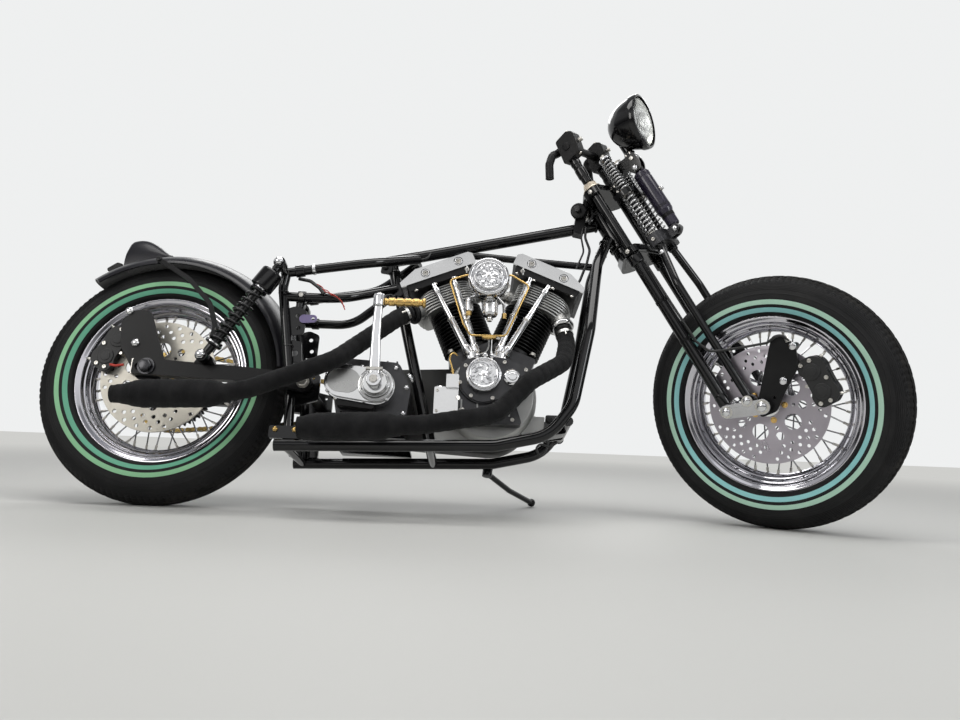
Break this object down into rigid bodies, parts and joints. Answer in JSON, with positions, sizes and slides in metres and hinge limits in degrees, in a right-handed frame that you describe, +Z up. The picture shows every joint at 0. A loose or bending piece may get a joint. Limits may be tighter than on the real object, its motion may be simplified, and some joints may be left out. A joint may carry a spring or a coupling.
{
  "type": "chopper motorcycle",
  "caption": "Chopper motorcycle without tank or seat: wire wheels, sprung leading-link fork, open V-twin engine and chain drive, leaning on its side stand.",
  "frame": {"origin": "centre of the bounding box, on the floor that the tyres and the stand touch", "axes": "+X forwards along the machine, +Y to its left, +Z up"},
  "size_m": [2.1616, 0.575, 1.1483],
  "materials": {
    "black_paint": "gloss black paint",
    "satin_black": "satin black powder coat",
    "black_wrap": "woven heat wrap",
    "tyre_rubber": "matt rubber",
    "chrome": "polished chrome",
    "polished_alloy": "hand-polished",
    "cast_alloy": "as cast, oxidised",
    "disc_steel": "ground",
    "black_iron": "satin black engine paint",
    "brass": "polished and tarnished",
    "lamp_glass": "clear, fluted",
    "grey_cast": "matt grey cast"
  },
  "bodies": {
    "frame": {"air_cleaner": "chrome", "backbone": "black_paint", "carburettor": "cast_alloy", "cradle_left": "black_paint", "cradle_right": "black_paint", "crankcase": "cast_alloy", "cylinder_front": "black_iron", "cylinder_rear": "black_iron", "drive_chain": "brass", "exhaust_lower": "black_wrap", "exhaust_upper": "black_wrap", "front_cross_member": "black_paint", "gearbox_plate": "black_paint", "head_front": "cast_alloy", "head_rear": "cast_alloy", "head_tube": "black_paint", "kick_cover": "polished_alloy", "kick_pedal": "brass", "kick_starter": "chrome", "oil_housing": "polished_alloy", "oil_line": "brass", "primary_cover": "grey_cast", "pushrods_front": "chrome", "pushrods_rear": "chrome", "rear_brake": "satin_black", "rear_cross_member": "black_paint", "rear_fender": "satin_black", "rocker_box_front": "polished_alloy", "rocker_box_rear": "polished_alloy", "seat_post": "black_paint", "shock_left": "black_paint", "shock_right": "black_paint", "subframe_left": "black_paint", "subframe_right": "black_paint", "swingarm": "satin_black", "tail_lamp": "satin_black", "timer_cover": "chrome", "transmission_case": "cast_alloy"},
    "fork": {"rigid_fork": "black_paint", "spring_bracket": "black_paint", "spring_fork": "black_paint", "spring_set_right": "chrome", "spring_set_left": "chrome", "fork_damper": "satin_black", "headlamp": "black_paint", "headlamp_lens": "lamp_glass", "handlebar": "satin_black", "front_rocker_right": "black_paint", "front_rocker_left": "black_paint", "front_brake": "satin_black"},
    "front_wheel_set": {"front_tyre": "tyre_rubber", "front_wheel": "chrome", "front_disc": "disc_steel"},
    "rear_wheel_set": {"rear_tyre": "tyre_rubber", "rear_wheel": "chrome", "rear_disc": "disc_steel", "rear_sprocket": "black_iron"},
    "stand": {"side_stand": "black_paint"}
  },
  "joints": [
    {"name": "steering", "type": "hinge", "parent": "frame", "child": "fork", "pos_m": [0.41394, 0.11632, 0.77858], "axis": [-0.4914, 0.1988, 0.848], "range_deg": [0, 80]},
    {"name": "front_wheel_spin", "type": "hinge", "parent": "fork", "child": "front_wheel_set", "pos_m": [0.80496, -0.07644, 0.31682], "axis": [0.5599, 0.8178, 0.1327], "continuous": true},
    {"name": "rear_wheel_spin", "type": "hinge", "parent": "frame", "child": "rear_wheel_set", "pos_m": [-0.76181, 0.00681, 0.31061], "axis": [0.0001, 0.9736, -0.2282], "continuous": true},
    {"name": "side_stand_fold", "type": "hinge", "parent": "frame", "child": "stand", "pos_m": [0.08831, 0.10353, 0.10147], "axis": [0.0722, 0.4165, 0.9062], "range_deg": [0, 118.7]}
  ]
}
